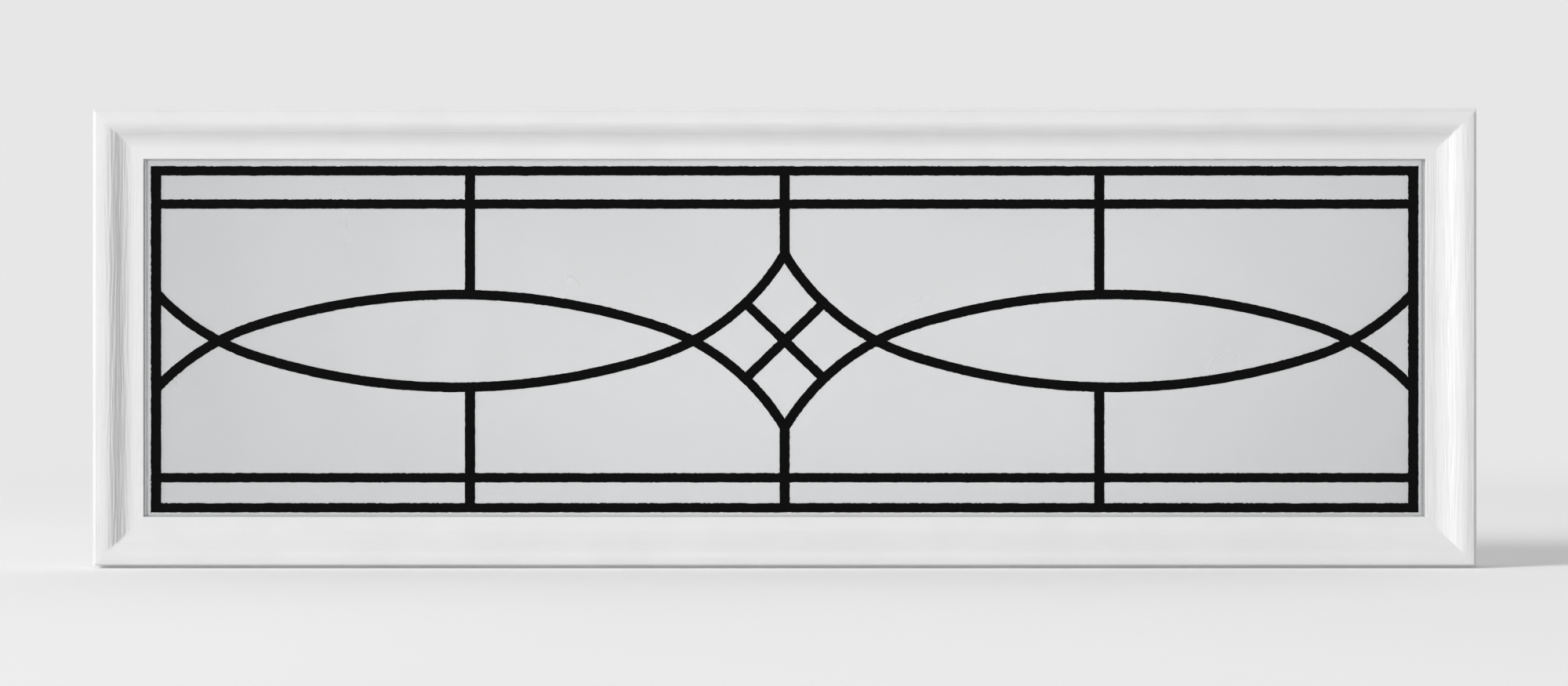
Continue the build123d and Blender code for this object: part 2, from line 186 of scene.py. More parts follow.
# Depth of the deepest grain in mm, which the short sides show most.
GRAIN_DEPTH = {"top": 0.16, "right": 0.72, "bottom": 0.16, "left": 0.72}


def arc(centre, radius, start, end, step):
    """Points on a circle from one angle to another in degrees: the centre plus radius times (sin, -cos).

    An angle of 0 points out of the face, and 90 inwards along s."""
    count = max(2, int(math.ceil(abs(math.radians(end - start)) * radius / step)) + 1)
    angle = np.radians(np.linspace(start, end, count))
    return np.stack([centre[0] + radius * np.sin(angle), centre[1] - radius * np.cos(angle)], -1)


def shell_back(s, depth):
    """Depth of the surface that lies a distance behind the face: three circles, then the flat land.

    On a circle it is the centre's depth less or plus the root of radius squared minus s distance squared."""
    hollow = HOLLOW_AT[1] + np.sqrt(np.maximum((HOLLOW_R + depth) ** 2 - (HOLLOW_AT[0] - s) ** 2, 0))
    bulge = BULGE_AT[1] - np.sqrt(np.maximum((BULGE_R - depth) ** 2 - (s - BULGE_AT[0]) ** 2, 0))
    crown = CROWN_AT[1] - np.sqrt((CROWN_R - depth) ** 2 - (CROWN_AT[0] - s) ** 2)
    land = 0 * s + LAND_Y + depth
    turn = TURN_AT - depth * math.sin(math.radians(TURN_LEAN))
    return np.select([s > HOLLOW_AT[0], s > turn, s > BULGE_AT[0]], [land, hollow, bulge], crown)


def shell_points(*places):
    """Points (s, y) on the back of the wall at some distances in from the outer edge."""
    s = np.array(places, float)
    return np.stack([s, shell_back(s, WALL)], -1)


def frame_section():
    """Closed section as (s, y) points: lip, side, crown, ogee, land, sight edge, back past neck and rails.

    The second result is how deep the embossed grain is at each point: full on the ogee, by a bell curve down
    to a quarter on the crown and the land, and 0 at the face's two edges and behind it."""
    side_s, lip_y, crown_start, fine = 2.4, -1.6, -7.574, 0.35
    face = np.concatenate([
        arc((0.4, -1.2), 0.4, -90, 0, 0.2), [(1.4, lip_y)],
        np.stack([np.full(5, side_s), np.linspace(lip_y, -7.9, 5)], -1),
        arc((3.9, -8.129), 1.5, -90, crown_start, 0.5)[:-1],
        arc(CROWN_AT, CROWN_R, crown_start, 0, fine)[:-1],
        arc(BULGE_AT, BULGE_R, 0, TURN_LEAN, fine)[:-1],
        arc(HOLLOW_AT, HOLLOW_R, TURN_LEAN - 180, -180, fine),
        np.stack([np.linspace(31.8, 37.8, 18), np.full(18, LAND_Y)], -1),
        arc((38.0, -2.798), 0.7, 0, 90, 0.25),
        [(FACE, -1.0), (FACE, LEDGE_Y), (FACE - WALL, LEDGE_Y), (FACE - WALL, LAND_Y + WALL)],
    ])
    back = np.concatenate([
        shell_points(33.8, 31.45, 28, 25, NECK_IN), [(NECK_IN, NECK_Y), (NECK_OUT, NECK_Y)],
        shell_points(NECK_OUT, 17), [(17, RAIL_Y), (15.5, RAIL_Y)],
        shell_points(15.5, 12.5, 9.5), [(9.5, RAIL_Y), (8, RAIL_Y)],
        shell_points(8, 6.5, RIM_S), [(RIM_S, 0), (0, 0)],
    ])
    section = np.concatenate([face, back])
    s = section[:, 0]
    grain_from, grain_to, ogee_middle, ogee_reach, least = 3.2, 38.3, 19.8, 5.0, 0.25
    on_face = np.clip((s - grain_from) / 1.2, 0, 1) * np.clip((grain_to - s) / 0.8, 0, 1)
    on_face *= least + (1 - least) * np.exp(-((s - ogee_middle) / ogee_reach) ** 2)
    on_face[len(face):] = 0
    return section, on_face


def grain(u, v, seed):
    """Depth of the embossed grain from 0 to 1: long narrow grooves about 1 mm apart that wander together.

    Value noise stretched about 27 to 1 along the member, its rows bent by slow noise, plus finer and broader
    noise. Each is weighted, and a slow noise makes the grooves deeper in some places than in others. Each
    divisor is the noise's cell in mm, along the member for u and across it for v."""
    bend = 1.5 * value_noise(u / 36, v / 8, seed) + 0.4 * value_noise(u / 12, v / 3.5, seed + 1)
    grooves = np.clip((value_noise(u / 24, v / 0.9 + bend, seed + 2) - 0.3) / 0.45, 0, 1)
    lines = value_noise(u / 13, v / 0.6 + 1.4 * bend, seed + 3)
    broad = value_noise(u / 60, v / 3.4 + bend, seed + 4)
    place = 0.5 + 0.5 * value_noise(u / 45, v / 6, seed + 5)
    return place * (0.56 * grooves + 0.28 * lines + 0.16 * broad)


def moulded_frame():
    """The section carried round four mitred sides.

    A station t from -1 to 1 lies at (half length - s) t along a side, so that each side ends on its mitres.
    The grain moves a point inwards along the section's normal, and fades out in the last 1 mm to a mitre."""
    section, on_face = frame_section()
    step = np.roll(section, -1, 0) - np.roll(section, 1, 0)
    normal = np.stack([step[:, 1], -step[:, 0]], -1) / np.linalg.norm(step, axis=1)[:, None]
    s, y = section[None, :, 0], section[None, :, 1]
    near_mitre, even_from, pitch = np.array([0, 0.7, 1.6, 3.0]), 5.5, 2.5
    lines = []
    for number, side in enumerate(SIDES):
        half = (WIDTH if side in ("top", "bottom") else HEIGHT) / 2
        even = np.linspace(even_from - half, half - even_from, int(half / pitch))
        place = np.concatenate([near_mitre - half, even, half - near_mitre[:0:-1]])
        t = (place / half)[:, None]
        mitre = np.clip((half - s) * (1 - np.abs(t)) / 1.0, 0, 1)
        pattern = grain((half - s) * t + half * (2 * number + 3), s, 10 * number)
        depth = GRAIN_DEPTH[side] * on_face * mitre * pattern
        cut_s, cut_y = s - depth * normal[None, :, 0], y - depth * normal[None, :, 1]
        lines.append(on_side(side, cut_s, cut_y, (half - cut_s) * t))
    points = np.concatenate(lines)
    rows, columns = points.shape[:2]
    return points.reshape(-1, 3), [grid_faces(rows, columns, around=True)]


def screw_boss(side, along):
    """Round boss turned about the screw's axis: up its outside, over its rim and down the pilot hole."""
    outer_r, hole_r = 4.2, 1.65
    root, middle, rim, hole_end = -2.6, 15.0, 35.102, 7.2
    radius = np.array([0, outer_r, outer_r, outer_r, hole_r, hole_r, 0])
    depth = np.array([root, root, middle, rim, rim, hole_end, hole_end])
    points, faces = lathe(radius, depth, columns=28)
    return points + on_side(side, SCREW_AT, 0.0, along), faces


def cross_rib(side, along, outline):
    """Flat web 1.8 mm thick: the same outline twice, joined by its rim."""
    half_thick = 0.9
    s, y = outline[:, 0], outline[:, 1]
    near, far = on_side(side, s, y, along - half_thick), on_side(side, s, y, along + half_thick)
    points = np.concatenate([near, far])
    count = len(outline)
    caps = np.stack([np.arange(count)[::-1], np.arange(count, 2 * count)])
    j = np.arange(count)
    rim = np.stack([j, (j + 1) % count, count + (j + 1) % count, count + j], -1)
    return points, [caps, rim]


def web_outline(start, end, level, count):
    """Outline between two distances s: along the middle of the wall, then back at a level depth."""
    s = np.linspace(start, end, count)
    return np.concatenate([np.stack([s, shell_back(s, WALL / 2)], -1), [(end, level), (start, level)]])


def frame_webs():
    """Webs between the rim and the neck, and webs on the neck that centre the glass on three sides."""
    neck_middle, unit_s, unit_y = 20.8, 28.7, 14.302
    seal = web_outline(RIM_S, neck_middle, RAIL_Y, 12)
    glass = web_outline(neck_middle, unit_s, unit_y, 8)
    webs = [cross_rib(side, along, seal) for side, along in RIBS]
    return webs + [cross_rib(side, along, glass) for side, along in RIBS if side != "bottom"]


# The black line-work

# Depths of a bar's front and of its back on the glass, and the width of its bevel.
LINE_FRONT, LINE_BACK, LINE_BEVEL = 0.302, GLASS_Y, 0.3
# The middle of the line-work lies 2.2 mm under the middle of the opening, and z is counted from it.
DROP = 2.2
SIDE_GAP, TOP_GAP, BOTTOM_GAP = 4.65, 5.0, 3.0
HALF_WIDTH = SIGHT_W / 2 - SIDE_GAP
TOP, BOTTOM = SIGHT_H / 2 - TOP_GAP + DROP, BOTTOM_GAP - SIGHT_H / 2 + DROP
UPRIGHT_W, RAIL_W, WAVE_W, CROSS_W = 7.7, 7.1, 7.4, 7.3
# How far a bar's edges are moved in and out, in mm, for each kind of bar.
BORDER_ROUGH, UPRIGHT_ROUGH, RAIL_ROUGH, CURVE_ROUGH = 0.38, 0.34, 0.42, 0.36
# Distances from the middle to a lens's middle, to the outer uprights and to a rail.
LENS_AT, QUARTER_AT, RAIL_AT = 248.2, 237.5, 103.3
# A wave's crest arc and tip arc, each as a radius and the lean at its end, and the crest's height.
CREST_R, CREST_LEAN = 500.0, math.radians(17.5)
TIP_R, TIP_LEAN = 175.0, math.radians(60)
CREST_Z = 35.0
TIP_X = (CREST_R - TIP_R) * math.sin(CREST_LEAN)
TIP_Z = CREST_Z - CREST_R + (CREST_R - TIP_R) * math.cos(CREST_LEAN)


def wave_line():
    """Middle line of half a wave from its crest: a flat arc, a steep arc tangent to it, and a straight run.

    On an arc, a point is the centre plus radius times (sine of the lean, cosine of the lean), and the lean
    grows by the distance along the arc divided by the radius."""
    reach, count = 345, 500
    distance = np.linspace(0, reach, count)
    crest_end = CREST_R * CREST_LEAN
    tip_end = crest_end + TIP_R * (TIP_LEAN - CREST_LEAN)
    crest_lean = np.clip(distance / CREST_R, 0, CREST_LEAN)
    lean = crest_lean + np.clip((distance - crest_end) / TIP_R, 0, TIP_LEAN - CREST_LEAN)
    run = np.clip(distance - tip_end, 0, None)
    on_tip = distance > crest_end
    x = np.where(on_tip, TIP_X + TIP_R * np.sin(lean), CREST_R * np.sin(lean))
    z = np.where(on_tip, TIP_Z + TIP_R * np.cos(lean), CREST_Z - CREST_R + CREST_R * np.cos(lean))
    return np.stack([x + run * math.cos(TIP_LEAN), z - run * math.sin(TIP_LEAN)], -1)


def bar_line(start, end):
    """Straight middle line with a point about every 0.55 mm."""
    spacing = 0.55
    start, end = np.array(start, float), np.array(end, float)
    t = np.linspace(0, 1, int(np.linalg.norm(end - start) / spacing) + 2)[:, None]
    return start + (end - start) * t


def ragged_bar(line, width, rough, seed, clip=None):
    """Bevelled bar along a middle line, its two edges moved in and out by quick and slow value noise.

    Each station is a six-point section: two points on the glass, two on the sides, two on the front. Each is
    the line's point plus an offset times the direction across it. With clip, the bar ends at the middle, on
    the side that clip's sign gives."""
    quick_cell, slow_cell, quick_share, slow_share = 0.8, 9, 1.7, 0.2
    step = np.gradient(line, axis=0)
    across = np.stack([-step[:, 1], step[:, 0]], -1) / np.linalg.norm(step, axis=1)[:, None]
    length = np.concatenate([[0], np.cumsum(np.linalg.norm(np.diff(line, axis=0), axis=1))])
    slow = value_noise(length / slow_cell, np.zeros(len(length)), 90 + seed) - 0.5
    moves = []
    for edge in range(2):
        row = np.full(len(length), seed + 0.5 * edge)
        quick = value_noise(length / quick_cell, row, 7 + seed + edge) - 0.5
        moves.append(rough * (quick * quick_share + slow_share * slow))
    left, right = width / 2 + moves[0], -width / 2 + moves[1]
    side_y = LINE_FRONT + LINE_BEVEL
    offsets = ((left, LINE_BACK), (left, side_y), (left - LINE_BEVEL, LINE_FRONT),
               (right + LINE_BEVEL, LINE_FRONT), (right, side_y), (right, LINE_BACK))
    columns = []
    for offset, y in offsets:
        flat = line + across * offset[:, None]
        if clip is not None:
            flat[:, 0] = np.maximum(flat[:, 0] * clip, 0) * clip
        columns.append(np.stack([flat[:, 0], np.full(len(flat), y), flat[:, 1] - DROP], -1))
    points = np.stack(columns, 1)
    rows, corners = len(line), len(offsets)
    start = np.arange(corners)
    caps = np.stack([start, start[::-1] + (rows - 1) * corners])
    return points.reshape(-1, 3), [grid_faces(rows, corners), caps]


def line_bars():
    """Every bar: border, two rails, six uprights, the four waves' halves, and the diamond's crossed bars."""
    side_x, overlap, past_middle = HALF_WIDTH - UPRIGHT_W / 2, 2, 6
    bars = []
    for sign in (-1, 1):
        border = bar_line((sign * side_x, BOTTOM), (sign * side_x, TOP))
        bars.append(ragged_bar(border, UPRIGHT_W, BORDER_ROUGH, 2 + sign))
        rail = bar_line((-side_x, sign * RAIL_AT), (side_x, sign * RAIL_AT))
        bars.append(ragged_bar(rail, RAIL_W, RAIL_ROUGH, 5 + sign))
    for z, seed in ((TOP - RAIL_W / 2, 8), (BOTTOM + RAIL_W / 2, 9)):
        bars.append(ragged_bar(bar_line((-HALF_WIDTH, z), (HALF_WIDTH, z)), RAIL_W, RAIL_ROUGH, seed))

    # The uprights start on a wave, or at the middle on the cusp between two, and end in the border.
    wave = wave_line()
    out = wave[:, 0]
    crest = np.interp(LENS_AT - QUARTER_AT, out, wave[:, 1])
    cusp = -np.interp(LENS_AT, out, wave[:, 1])
    for number, (x, foot) in enumerate(((-QUARTER_AT, crest), (0, cusp), (QUARTER_AT, crest))):
        upper = bar_line((x, foot), (x, TOP - overlap))
        lower = bar_line((x, -foot), (x, BOTTOM + overlap))
        bars.append(ragged_bar(upper, UPRIGHT_W, UPRIGHT_ROUGH, 20 + number))
        bars.append(ragged_bar(lower, UPRIGHT_W, UPRIGHT_ROUGH, 24 + number))

    inner = wave[out < LENS_AT + past_middle]
    outer = wave[out < side_x - LENS_AT]
    for across in (-1, 1):
        for up in (-1, 1):
            for part, turn, seed in ((inner, -across, 40), (outer, across, 60)):
                line = np.stack([across * LENS_AT + turn * part[:, 0], up * part[:, 1]], -1)
                bars.append(ragged_bar(line, WAVE_W, CURVE_ROUGH, seed + 2 * across + up, across))

    # The crossed bars run through the middle, both ways as far as the circles of the tip arcs.
    lean = math.radians(44)
    toward = (LENS_AT - TIP_X) * math.cos(lean) - TIP_Z * math.sin(lean)
    reach = toward - math.sqrt(toward**2 - (LENS_AT - TIP_X) ** 2 - TIP_Z**2 + TIP_R**2)
    for sign in (-1, 1):
        tip = (reach * math.cos(lean), sign * reach * math.sin(lean))
        bars.append(ragged_bar(bar_line((-tip[0], -tip[1]), tip), CROSS_W, CURVE_ROUGH, 80 + sign))
    return bars


def one_casting(pieces, sharp_angle):
    """Unites overlapping closed pieces into the first, one union after another, and removes the others."""
    whole = pieces[0]
    for other in pieces[1:]:
        join = whole.modifiers.new("join", "BOOLEAN")
        join.operation, join.solver, join.object = "UNION", "MANIFOLD", other
        united = bpy.data.meshes.new_from_object(whole.evaluated_get(bpy.context.evaluated_depsgraph_get()))
        whole.modifiers.clear()
        whole.data = united
        bpy.data.objects.remove(other)
    whole.data.name = whole.name
    whole.data.materials.clear()
    whole.data.polygons.foreach_set("use_smooth", np.ones(len(whole.data.polygons), bool))
    whole.data.set_sharp_from_angle(angle=math.radians(sharp_angle))
    return whole


# Screws

def screw_head():
    """Pan head: flat top, rim rounded by a quarter circle, straight side and shank.

    Its height falls by 1.5 mm inside a cross of two 4.4 by 0.9 mm slots."""
    flat_r, rim_r, top, shank_r = 2.4, 1.6, 2.7, 1.5
    slot_deep, slot_half, slot_reach = 1.5, 0.5, 2.2
    rim = np.radians(np.linspace(0, 90, 7))[1:]
    flat = np.linspace(0.12, flat_r, 17)
    side_r = flat_r + rim_r
    radius = np.concatenate([[0], flat, flat_r + rim_r * np.sin(rim), [side_r, shank_r, 0]])
    height = np.concatenate([[top], np.full(17, top), top - rim_r + rim_r * np.cos(rim), [0, 0, 0]])
    points, faces = lathe(radius, height, columns=72)
    x, z = np.abs(points[:, 0]), np.abs(points[:, 2])
    upright = np.clip((slot_half - x) / 0.1, 0, 1) * np.clip((slot_reach - z) / 0.2, 0, 1)
    level = np.clip((slot_half - z) / 0.1, 0, 1) * np.clip((slot_reach - x) / 0.2, 0, 1)
    points[:, 1] -= slot_deep * np.maximum(upright, level) * (points[:, 1] > 2.0)
    return points, faces


def screw_thread():
    """Shank whose radius rises over a band that climbs 1.3 mm a turn, and shrinks to a point at its end.

    The band is where the depth over the pitch plus the angle in turns is near a half above a whole number."""
    core_r, ridge_high, ridge_half, pitch = 1.22, 0.5, 0.24, 1.3
    plain, rise, end, point_long, least = 1.0, 1.5, 31.8, 3.4, 0.12
    top_pole, tip_pole, columns = (0, 0.4, 0), (0, -31.75, 0), 14
    depth = np.arange(0.0, 31.6, 0.21)[:, None]
    angle = np.arange(columns) * 2 * math.pi / columns
    phase = (depth / pitch + angle[None, :] / (2 * math.pi)) % 1
    ridge = np.clip(1 - np.abs(phase - 0.5) / ridge_half, 0, 1)
    point = np.clip((end - depth) / point_long, least, 1)
    radius = point * (core_r + ridge_high * ridge * np.clip((depth - plain) / rise, 0, 1))
    rings = np.stack([radius * np.cos(angle), -depth + 0 * radius, radius * np.sin(angle)], -1)
    rows = len(depth)
    points = np.concatenate([rings.reshape(-1, 3), [top_pole, tip_pole]])
    return points, [grid_faces(rows, columns), *pole_faces(rows, columns)]


def frame_screws():
    """Ten screws, each turned a different way as they end up after driving."""
    shells = []
    turns = np.random.default_rng(4).random(len(SCREWS)) * math.pi
    for (side, along), turn in zip(SCREWS, turns):
        cos, sin = math.cos(turn), math.sin(turn)
        spin = np.array([[cos, 0, sin], [0, 1, 0], [-sin, 0, cos]])
        for points, faces in (screw_head(), screw_thread()):
            shells.append((points @ spin.T + on_side(side, SCREW_AT, SEAT_Y, along), faces))
    return shells


# Materials

# A pattern's scale is 1000 over its size in millimetres, because Object coordinates are in metres.

def linear(code):
    """sRGB hex to linear red, green, blue and alpha."""
    value = np.array([int(code[i:i + 2], 16) for i in (1, 3, 5)]) / 255
    return [*np.where(value <= 0.04045, value / 12.92, ((value + 0.055) / 1.055) ** 2.4), 1.0]


def put(tree, kind, settings=None, **inputs):
    """One node of a kind with its settings. Each input is a value or another node's output.

    An input goes by its name, with underscores for spaces, or by in and its place in the list."""
    node = tree.nodes.new(kind)
    for key, value in (settings or {}).items():
        setattr(node, key, value)
    for key, value in inputs.items():
        by_place = key.startswith("in") and key[2:].isdigit()
        socket = node.inputs[int(key[2:]) if by_place else key.replace("_", " ")]
        if isinstance(value, bpy.types.NodeSocket):
            tree.links.new(value, socket)
        else:
            socket.default_value = value
    return node


def blank(name, **shader):
    """Material with one main shader that has the given values, its tree, and the Object coordinates."""
    material = bpy.data.materials.new(name)
    material.use_nodes = True
    tree = material.node_tree
    surface = tree.nodes["Principled BSDF"]
    for key, value in shader.items():
        surface.inputs[key.replace("_", " ")].default_value = value
    place = put(tree, "ShaderNodeTexCoord").outputs["Object"]
    return material, tree, surface, place


def mottle(tree, place, size_mm, dark, light, detail=2.0, low=0.35, high=0.65):
    """Colour that drifts between two hexes in patches of a size, as an output."""
    noise = put(tree, "ShaderNodeTexNoise",
                Vector=place, Scale=1000.0 / size_mm, Detail=detail, Roughness=0.55)
    spread = put(tree, "ShaderNodeMapRange", Value=noise.outputs["Fac"], From_Min=low, From_Max=high)
    mix = put(tree, "ShaderNodeMix", {"data_type": "RGBA"}, in6=linear(dark), in7=linear(light),
              in0=spread.outputs["Result"])
    return mix.outputs[2]


def bump(tree, surface, height, depth_mm, strength=1.0):
    """Bump of a real depth on a shader."""
    node = put(tree, "ShaderNodeBump", Height=height, Distance=depth_mm / 1000, Strength=strength)
    tree.links.new(node.outputs["Normal"], surface.inputs["Normal"])


# Rigid PVC, moulded against a grained tool: an even cool white, with a low sheen that breaks up on the grain.
# The bump adds hair lines, 14 mm long and 0.6 mm apart, that run along each side and turn at the mitres. A
# shift keeps the long and the short sides from sharing a pattern.
def grained_pvc():
    material, tree, surface, place = blank("grained_white_pvc", Roughness=0.36, IOR=1.53)
    tree.links.new(mottle(tree, place, 45.0, "#e2e2e3", "#e6e5e6"), surface.inputs["Base Color"])
    hair_mm, apart_mm, shift = 14, 0.6, 5.0
    axes = put(tree, "ShaderNodeSeparateXYZ", Vector=place).outputs
    out_x = put(tree, "ShaderNodeMath", {"operation": "ABSOLUTE"}, in0=axes["X"])
    out_z = put(tree, "ShaderNodeMath", {"operation": "ABSOLUTE"}, in0=axes["Z"])
    past = put(tree, "ShaderNodeMath", {"operation": "SUBTRACT"},
               in0=out_x.outputs[0], in1=out_z.outputs[0])
    upright = put(tree, "ShaderNodeMath", {"operation": "GREATER_THAN"},
                  in0=past.outputs[0], in1=(WIDTH - HEIGHT) / 2000).outputs[0]
    along = put(tree, "ShaderNodeMix", {"data_type": "FLOAT"}, in0=upright, in2=axes["X"], in3=axes["Z"])
    across = put(tree, "ShaderNodeMix", {"data_type": "FLOAT"}, in0=upright, in2=axes["Z"], in3=axes["X"])
    lay = put(tree, "ShaderNodeCombineXYZ", X=along.outputs[0], Y=across.outputs[0], Z=upright)
    size = put(tree, "ShaderNodeVectorMath", {"operation": "MULTIPLY"},
               in0=lay.outputs[0], in1=(1000 / hair_mm, 1000 / apart_mm, shift))
    hairs = put(tree, "ShaderNodeTexNoise", Vector=size.outputs[0], Scale=1.0, Detail=2.0, Roughness=0.6)
    bump(tree, surface, hairs.outputs["Fac"], depth_mm=0.08)
    return material


# Rigid PVC from a lightly etched tool: the same white, plain, with a fine even tooth.
def plain_pvc():
    material, tree, surface, place = blank("etched_white_pvc", Roughness=0.3, IOR=1.53)
    tree.links.new(mottle(tree, place, 60.0, "#dfdfe0", "#e5e4e5"), surface.inputs["Base Color"])
    tooth = put(tree, "ShaderNodeTexNoise", Vector=place, Scale=1000 / 0.8, Detail=2.0)
    bump(tree, surface, tooth.outputs["Fac"], depth_mm=0.02, strength=0.6)
    return material


# Black enamel, fired on: dead flat, with a dry broken surface that has hardly any sheen.
def flat_black():
    material, tree, surface, place = blank(
        "flat_black_enamel", Roughness=0.92, IOR=1.45, Specular_IOR_Level=0.04)
    black = mottle(tree, place, 1.6, "#0b0b0b", "#121212", detail=3.0, low=0.3, high=0.7)
    tree.links.new(black, surface.inputs["Base Color"])
    tooth = put(tree, "ShaderNodeTexNoise", Vector=place, Scale=1000 / 0.5, Detail=3.0)
    bump(tree, surface, tooth.outputs["Fac"], depth_mm=0.03, strength=0.5)
    return material


# Float glass, acid etched: pale grey and hazy, light goes in and comes back scattered, and the sheen is wide.
# The etch is far finer than a tenth of a millimetre, so it's all in the roughness, which drifts a little.
def satin_glass():
    material, tree, surface, place = blank("satin_etched_glass", IOR=1.52, Transmission_Weight=1.0)
    tree.links.new(mottle(tree, place, 130.0, "#dadadc", "#dddddf"), surface.inputs["Base Color"])
    drift = put(tree, "ShaderNodeTexNoise", Vector=place, Scale=1000 / 60, Detail=1.0)
    etch = put(tree, "ShaderNodeMapRange", Value=drift.outputs["Fac"], To_Min=0.262, To_Max=0.278)
    tree.links.new(etch.outputs["Result"], surface.inputs["Roughness"])
    return material


# Float glass: clear and polished, faintly green through its thickness.
def clear_glass():
    material, tree, surface, place = blank(
        "clear_float_glass", Roughness=0.02, IOR=1.52, Transmission_Weight=1.0)
    tree.links.new(mottle(tree, place, 200.0, "#f6f8f7", "#f9fbfa"), surface.inputs["Base Color"])
    return material


# Bright rolled aluminium: clear silver sheen, with fine lines along the bar left by the rolls.
def bright_aluminium():
    material, tree, surface, place = blank("bright_rolled_aluminium", Metallic=1.0, Roughness=0.14)
    tree.links.new(mottle(tree, place, 8.0, "#eeeff0", "#f3f4f5"), surface.inputs["Base Color"])
    line_mm = 0.3
    depth = put(tree, "ShaderNodeVectorMath", {"operation": "MULTIPLY"},
                in0=place, in1=(30.0, 1000 / line_mm, 30.0))
    rolls = put(tree, "ShaderNodeTexNoise", Vector=depth.outputs[0], Scale=1.0, Detail=2.0)
    bump(tree, surface, rolls.outputs["Fac"], depth_mm=0.01, strength=0.5)
    return material


# Moulded nylon: mid grey, waxy, with a fine spark-eroded tooth.
def grey_nylon():
    material, tree, surface, place = blank("moulded_grey_nylon", Roughness=0.5, IOR=1.53)
    tree.links.new(mottle(tree, place, 6.0, "#7c7e80", "#8a8c8e"), surface.inputs["Base Color"])
    tooth = put(tree, "ShaderNodeTexNoise", Vector=place, Scale=1000 / 0.4, Detail=2.0)
    bump(tree, surface, tooth.outputs["Fac"], depth_mm=0.02, strength=0.6)
    return material


# Molecular sieve, sintered clay beads about 1.2 mm across: dull buff, darkening to brown towards each bead's
# edge as painted shade in the gaps between the beads.
def drying_beads():
    material, tree, surface, place = blank("sieve_beads", Roughness=0.85, IOR=1.5)
    cells = put(tree, "ShaderNodeTexVoronoi", Vector=place, Scale=1000 / 1.2)
    shade = put(tree, "ShaderNodeMapRange", Value=cells.outputs["Distance"], From_Min=0.25, From_Max=0.6)
    # The brown at each cell's edge is painted shade, where the bump dips into the gaps between the beads.
    mix = put(tree, "ShaderNodeMix", {"data_type": "RGBA"},
              in0=shade.outputs[0], in6=linear("#c8b79c"), in7=linear("#5c5040"))
    tree.links.new(mix.outputs[2], surface.inputs["Base Color"])
    round_top = put(tree, "ShaderNodeMath", {"operation": "SUBTRACT"},
                    in0=1.0, in1=cells.outputs["Distance"])
    bump(tree, surface, round_top.outputs[0], depth_mm=0.5)
    return material


# Extruded and pumped compounds, black, grey or pale: dull, with the slight drag marks of the nozzle or die.
def compound(name, dark, light, rough, grain_mm, depth_mm):
    material, tree, surface, place = blank(name, Roughness=rough, IOR=1.5)
    tree.links.new(mottle(tree, place, 4 * grain_mm, dark, light), surface.inputs["Base Color"])
    skin = put(tree, "ShaderNodeTexNoise", Vector=place, Scale=1000 / grain_mm, Detail=3.0)
    bump(tree, surface, skin.outputs["Fac"], depth_mm, strength=0.7)
    return material


# Closed-cell foam, sliced: pale or dark, with cut cells. They're under half a millimetre wide, and drawn at
# 0.6 mm so that they show. Each cut cell is a pit in the bump, coloured darker than the walls as painted
# shade.
def cut_foam(name, wall, shaded_cell):
    material, tree, surface, place = blank(name, Roughness=0.9, IOR=1.45)
    cells = put(tree, "ShaderNodeTexVoronoi", Vector=place, Scale=1000 / 0.6)
    shade = put(tree, "ShaderNodeMapRange", Value=cells.outputs["Distance"], From_Min=0.1, From_Max=0.5)
    # The darker colour at each cell's middle is painted shade in the pit that the bump cuts there.
    mix = put(tree, "ShaderNodeMix", {"data_type": "RGBA"},
              in0=shade.outputs[0], in6=linear(shaded_cell), in7=linear(wall))
    tree.links.new(mix.outputs[2], surface.inputs["Base Color"])
    bump(tree, surface, cells.outputs["Distance"], depth_mm=0.2, strength=0.8)
    return material


# Steel, zinc plated and clear passivated: pale blue-grey metal, slightly cloudy.
def zinc_plate():
    material, tree, surface, place = blank("zinc_plated_steel", Metallic=1.0, Roughness=0.3)
    tree.links.new(mottle(tree, place, 1.5, "#b9bcbd", "#d2d3d1", 3.0), surface.inputs["Base Color"])
    bloom = put(tree, "ShaderNodeTexNoise", Vector=place, Scale=1000 / 0.3, Detail=2.0)
    bump(tree, surface, bloom.outputs["Fac"], depth_mm=0.01, strength=0.5)
    return material


# The object

def dress(names, material):
    """Gives one material to CAD nodes."""
    for name in names:
        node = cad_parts[name]
        node.data.materials.clear()
        node.data.materials.append(material)


def fit(piece, material, node):
    """Hangs a finished piece on the object in place of a CAD node."""
    piece.data.materials.append(material)
    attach(piece, "root")
    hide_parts(node)


frame_shells = [moulded_frame()] + [screw_boss(side, along) for side, along in SCREWS] + frame_webs()
white_frame = add_piece("moulded_frame", frame_shells, sharp_angle=42)
fit(white_frame, grained_pvc(), "outer_frame")

bar_pieces = []
for k, bar in enumerate(line_bars()):
    bar_pieces.append(add_piece("line_work" if k == 0 else f"bar_{k}", [bar], sharp_angle=35))
fit(one_casting(bar_pieces, sharp_angle=35), flat_black(), "came_lattice")

fit(add_piece("pan_head_screws", frame_screws(), sharp_angle=50), zinc_plate(), "frame_screws")

ENDS = [f"{z}_{x}" for z in ("top", "bottom") for x in ("left", "right")]
dress(["inner_frame"], plain_pvc())
dress(["outer_pane"], satin_glass())
dress(["inner_pane"], clear_glass())
dress(["spacer_bar_" + side for side in SIDES], bright_aluminium())
dress(["corner_key_" + end for end in ENDS], grey_nylon())
dress(["desiccant_top", "desiccant_bottom"], drying_beads())
dress(["butyl_seal_front", "butyl_seal_rear"],
      compound("grey_butyl", "#9a9b9c", "#a5a6a7", rough=0.6, grain_mm=1.5, depth_mm=0.05))
dress(["edge_sealant"],
      compound("pale_silicone_sealant", "#bcbdbe", "#c6c7c8", rough=0.55, grain_mm=2.5, depth_mm=0.15))
dress(["glazing_gasket"],
      compound("pale_gasket_rubber", "#e1e1e1", "#e9e9e9", rough=0.62, grain_mm=0.6, depth_mm=0.03))
